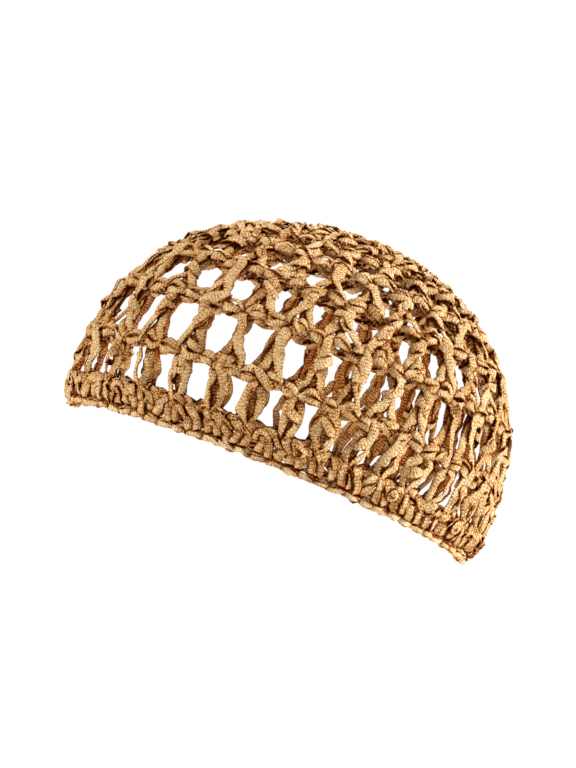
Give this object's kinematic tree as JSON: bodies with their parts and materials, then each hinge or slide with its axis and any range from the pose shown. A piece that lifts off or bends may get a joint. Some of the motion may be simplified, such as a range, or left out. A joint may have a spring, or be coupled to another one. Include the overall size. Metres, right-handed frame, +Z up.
{
  "type": "crochet hair snood",
  "caption": "Open crocheted hair snood: a dome of flat ribbon yarn in net rounds with a dense rim band, in the form it takes on a head.",
  "frame": {"origin": "middle of the rim's opening, in the plane of the rim's lowest points at the front and the nape", "axes": "+Z up as worn, -X the front of the head, +X the nape, -Y the wearer's left side; the rim's plane is turned 22 degrees about Y, so the front is the higher end"},
  "size_m": [0.1981, 0.163, 0.1534],
  "materials": {
    "mesh_yarn": "flat viscose ribbon yarn, ochre, soft sheen",
    "crown_yarn": "flat viscose ribbon yarn, ochre, soft sheen",
    "band_yarn": "flat viscose ribbon yarn, ochre, closely stitched",
    "edge_yarn": "flat viscose ribbon yarn, ochre, chain stitched"
  },
  "bodies": {
    "root": {"edge_chain": "edge_yarn", "rim_band": "band_yarn", "mesh_round_1": "mesh_yarn", "mesh_round_2": "mesh_yarn", "mesh_round_3": "mesh_yarn", "mesh_round_4": "mesh_yarn", "crown": "crown_yarn", "start_ring": "crown_yarn"}
  },
  "joints": []
}
